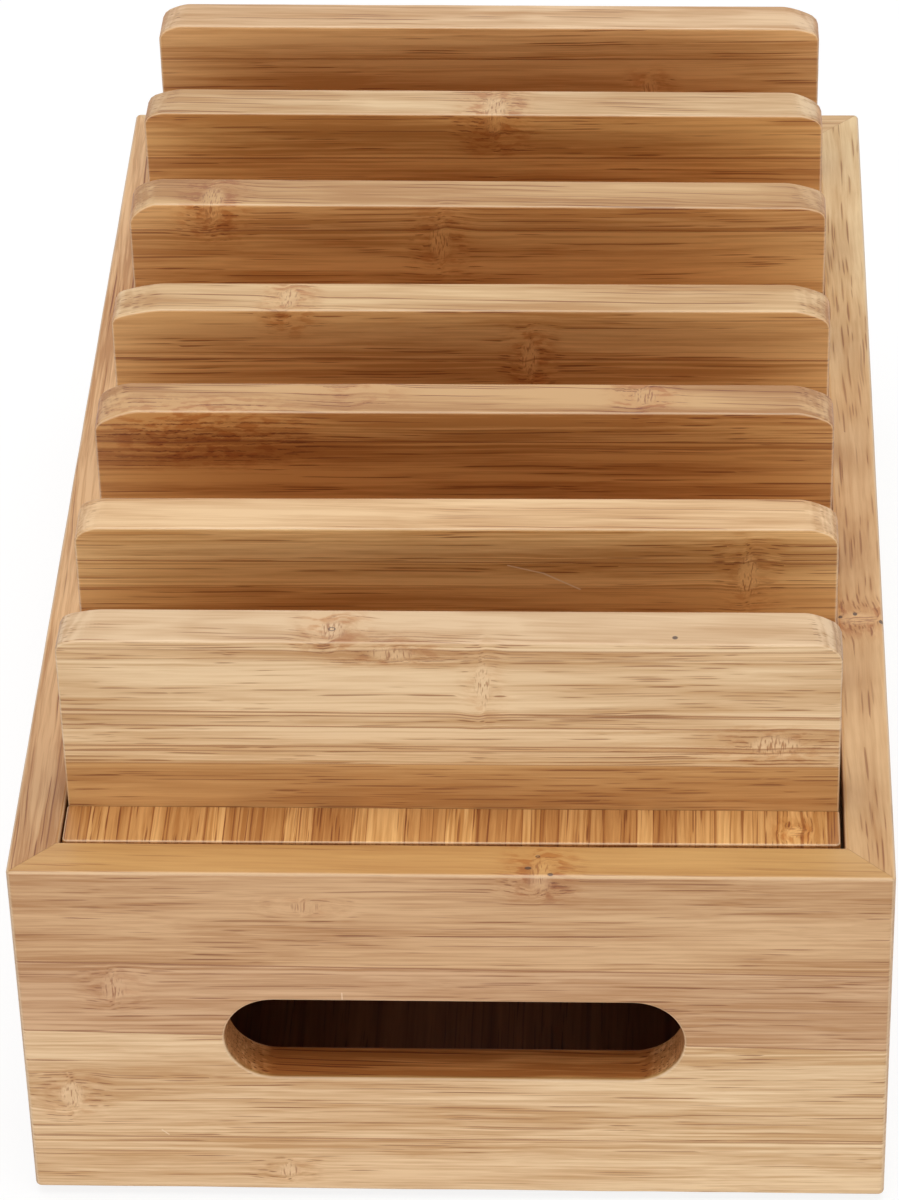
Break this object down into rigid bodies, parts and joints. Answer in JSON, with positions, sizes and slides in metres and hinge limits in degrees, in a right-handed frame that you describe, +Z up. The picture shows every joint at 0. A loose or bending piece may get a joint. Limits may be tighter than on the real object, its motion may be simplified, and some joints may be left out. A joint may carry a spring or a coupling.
{
  "type": "phone and tablet organizer",
  "caption": "Bamboo box with a lift-off lid whose upright dividers hold phones and tablets on edge above a hidden charger space",
  "frame": {"origin": "middle of the box's footprint, on the surface that the feet stand on", "axes": "+Z up; +Y from the front end wall, which the picture shows, to the rear end wall; +X to the right seen from the front"},
  "size_m": [0.17, 0.28, 0.1248],
  "materials": {
    "bamboo_box": "satin lacquered laminated bamboo",
    "bamboo_lid": "satin lacquered laminated bamboo, narrow strips",
    "bamboo_divider": "satin lacquered laminated bamboo",
    "zinc_screw": "zinc-plated steel",
    "rubber_foot": "matt rubber"
  },
  "bodies": {
    "box": {"front_wall": "bamboo_box", "rear_wall": "bamboo_box", "left_wall": "bamboo_box", "right_wall": "bamboo_box", "bottom_panel": "bamboo_box", "left_lid_rail": "bamboo_box", "right_lid_rail": "bamboo_box", "foot_front_left": "rubber_foot", "foot_front_right": "rubber_foot", "foot_rear_left": "rubber_foot", "foot_rear_right": "rubber_foot"},
    "lid": {"lid_panel": "bamboo_lid", "divider_1": "bamboo_divider", "divider_2": "bamboo_divider", "divider_3": "bamboo_divider", "divider_4": "bamboo_divider", "divider_5": "bamboo_divider", "divider_6": "bamboo_divider", "divider_7": "bamboo_divider", "screw_1_left": "zinc_screw", "screw_1_right": "zinc_screw", "screw_2_left": "zinc_screw", "screw_2_right": "zinc_screw", "screw_3_left": "zinc_screw", "screw_3_right": "zinc_screw", "screw_4_left": "zinc_screw", "screw_4_right": "zinc_screw", "screw_5_left": "zinc_screw", "screw_5_right": "zinc_screw", "screw_6_left": "zinc_screw", "screw_6_right": "zinc_screw", "screw_7_left": "zinc_screw", "screw_7_right": "zinc_screw"}
  },
  "joints": [
    {"name": "lid_lift", "type": "slide", "parent": "box", "child": "lid", "axis": [0, 0, 1], "range_m": [0, 0.12]}
  ]
}
